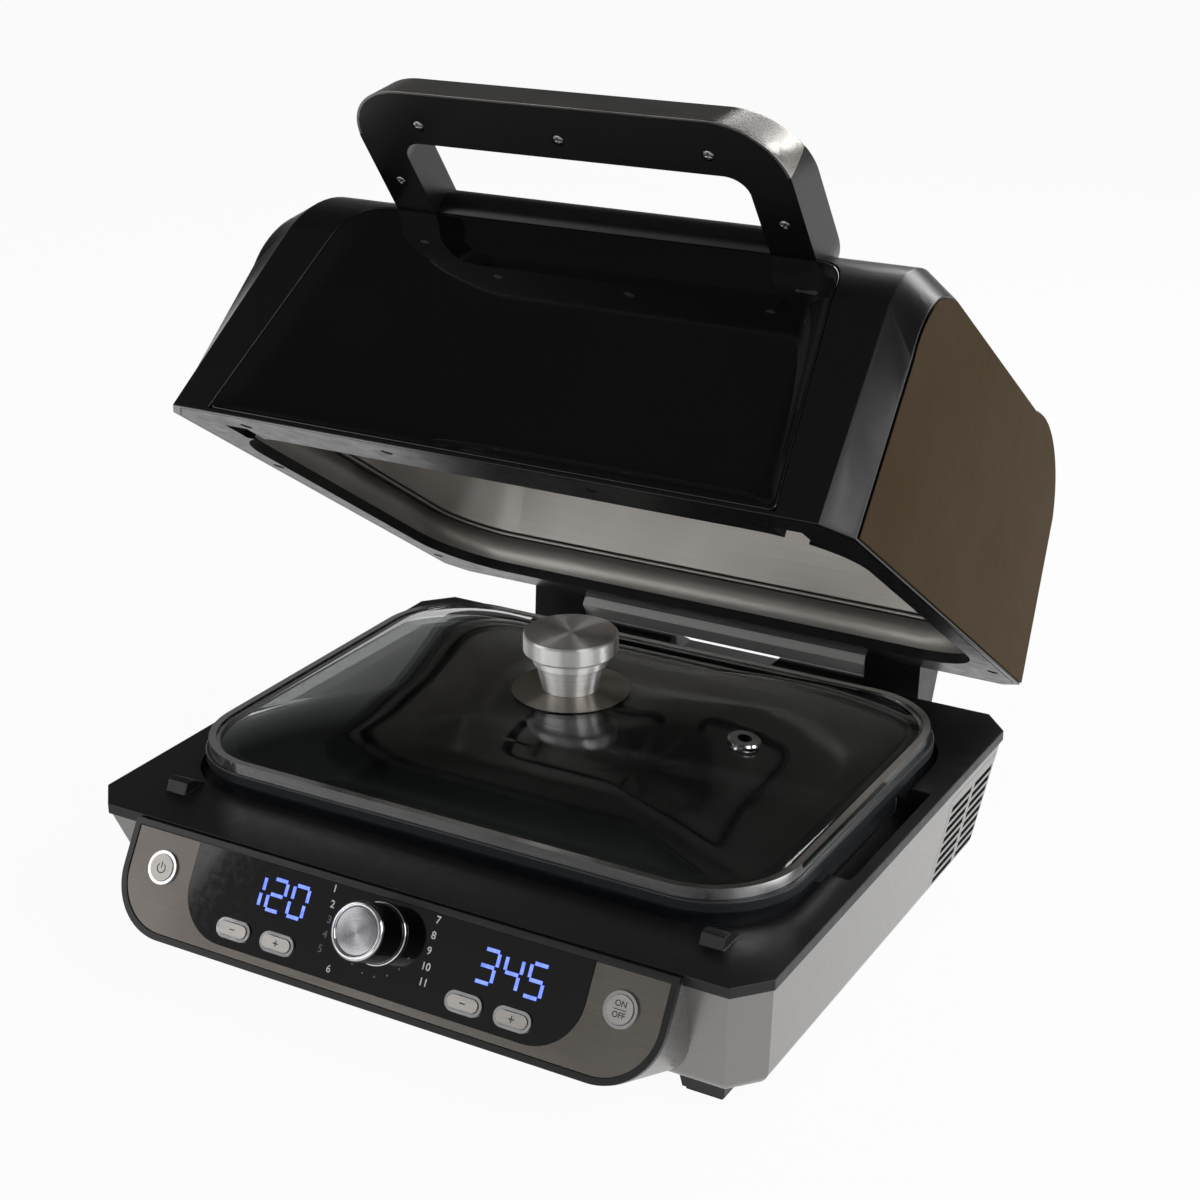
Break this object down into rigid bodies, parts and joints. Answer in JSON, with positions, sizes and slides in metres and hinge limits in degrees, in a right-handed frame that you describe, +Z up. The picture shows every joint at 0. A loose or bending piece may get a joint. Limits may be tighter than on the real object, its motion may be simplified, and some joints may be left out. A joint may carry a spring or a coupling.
{
  "type": "air fryer grill",
  "caption": "Countertop air fryer grill: a hinged lid with a loop handle, a control panel with a dial and buttons, and a lift-out pot under a loose glass lid.",
  "frame": {"origin": "on the table under the middle of the whole object with its lid open", "axes": "+Z up, -Y towards the user and the control panel, +X to the user's right"},
  "size_m": [0.4, 0.4658, 0.4565],
  "materials": {
    "black_plastic": "satin black moulded plastic",
    "grey_plastic": "silver-grey metallic paint on moulded plastic",
    "gloss_black": "deep gloss black",
    "bronze_metal": "dark bronze brushed sheet, lacquered",
    "dark_brushed_metal": "dark brushed",
    "fascia_metal": "warm grey brushed",
    "brushed_steel": "brushed stainless steel",
    "chrome": "polished",
    "element_metal": "oxidised dark grey sheath",
    "nonstick": "charcoal non-stick coating",
    "glass": "clear tempered glass",
    "rubber": "matt black",
    "screw_black": "blackened steel",
    "button_silver": "satin silver",
    "led_blue": "lit blue display bars",
    "circuit_board": "green circuit board and black parts"
  },
  "bodies": {
    "base": {"base_shell": "grey_plastic", "base_floor": "black_plastic", "vent_panels": "grey_plastic", "deck_cover": "black_plastic", "front_feet": "black_plastic", "rear_feet": "black_plastic", "foot_pads": "rubber", "cooking_well": "nonstick", "heat_reflector": "brushed_steel", "lower_heating_element": "element_metal", "element_brackets": "brushed_steel", "panel_housing": "grey_plastic", "panel_frame": "black_plastic", "fascia_plate": "fascia_metal", "display_window": "gloss_black", "button_bezels": "chrome", "display_digits": "led_blue", "control_board": "circuit_board", "dial_encoder": "circuit_board", "power_board": "circuit_board", "thermostat": "element_metal", "mains_inlet": "rubber", "base_screws": "screw_black", "hinge_housing": "black_plastic", "hinge_shaft": "brushed_steel"},
    "lid": {"lid_shell": "black_plastic", "lid_front_panel": "gloss_black", "lid_side_panels": "bronze_metal", "lid_rim": "grey_plastic", "lid_collar": "black_plastic", "lid_gasket": "rubber", "retaining_clip": "chrome", "lid_liner": "brushed_steel", "upper_heating_element": "element_metal", "element_clips": "brushed_steel", "fan_guard": "brushed_steel", "heat_shield": "brushed_steel", "fan_motor": "element_metal", "lid_hinge_arm": "black_plastic", "hinge_trough": "brushed_steel", "handle_cover": "black_plastic", "handle_band": "dark_brushed_metal", "handle_back": "black_plastic", "lid_screws": "screw_black"},
    "fan": {"fan_impeller": "brushed_steel"},
    "pot": {"cooking_pot": "nonstick"},
    "glass_lid": {"glass_pane": "glass", "glass_rim": "brushed_steel", "knob_flange": "brushed_steel", "lid_knob": "brushed_steel", "knob_screw": "chrome", "vent_grommet": "chrome"},
    "dial": {"dial_knob": "gloss_black", "dial_trim": "chrome"},
    "power_button": {"power_button": "button_silver"},
    "start_button": {"start_button": "button_silver"},
    "preset_button": {"preset_button": "button_silver"},
    "heat_button": {"heat_button": "button_silver"},
    "clock_button": {"clock_button": "button_silver"},
    "manual_button": {"manual_button": "button_silver"}
  },
  "joints": [
    {"name": "lid_hinge", "type": "hinge", "parent": "base", "child": "lid", "pos_m": [0, 0.17248, 0.0674], "axis": [-1, 0, 0], "range_deg": [-34.1, 0]},
    {"name": "dial_turn", "type": "hinge", "parent": "base", "child": "dial", "pos_m": [0, -0.20762, 0.07389], "axis": [0, -0.8563, 0.5165], "continuous": true},
    {"name": "pot_lift", "type": "slide", "parent": "base", "child": "pot", "axis": [0, 0, 1], "range_m": [0, 0.044]},
    {"name": "glass_lid_lift", "type": "slide", "parent": "pot", "child": "glass_lid", "axis": [0, -0.8281, 0.5606], "range_m": [0, 0.1]},
    {"name": "fan_spin", "type": "hinge", "parent": "lid", "child": "fan", "pos_m": [0, 0.07846, 0.27911], "axis": [0, 0.5606, 0.8281], "continuous": true},
    {"name": "power_button_press", "type": "slide", "parent": "base", "child": "power_button", "axis": [0, 0.8563, -0.5165], "range_m": [0, 0.001], "stiffness_N_per_m": 500, "springref_m": -0.0005},
    {"name": "start_button_press", "type": "slide", "parent": "base", "child": "start_button", "axis": [0, 0.8563, -0.5165], "range_m": [0, 0.001], "stiffness_N_per_m": 500, "springref_m": -0.0005},
    {"name": "preset_button_press", "type": "slide", "parent": "base", "child": "preset_button", "axis": [0, 0.8563, -0.5165], "range_m": [0, 0.001], "stiffness_N_per_m": 500, "springref_m": -0.0005},
    {"name": "heat_button_press", "type": "slide", "parent": "base", "child": "heat_button", "axis": [0, 0.8563, -0.5165], "range_m": [0, 0.001], "stiffness_N_per_m": 500, "springref_m": -0.0005},
    {"name": "clock_button_press", "type": "slide", "parent": "base", "child": "clock_button", "axis": [0, 0.8563, -0.5165], "range_m": [0, 0.001], "stiffness_N_per_m": 500, "springref_m": -0.0005},
    {"name": "manual_button_press", "type": "slide", "parent": "base", "child": "manual_button", "axis": [0, 0.8563, -0.5165], "range_m": [0, 0.001], "stiffness_N_per_m": 500, "springref_m": -0.0005}
  ]
}
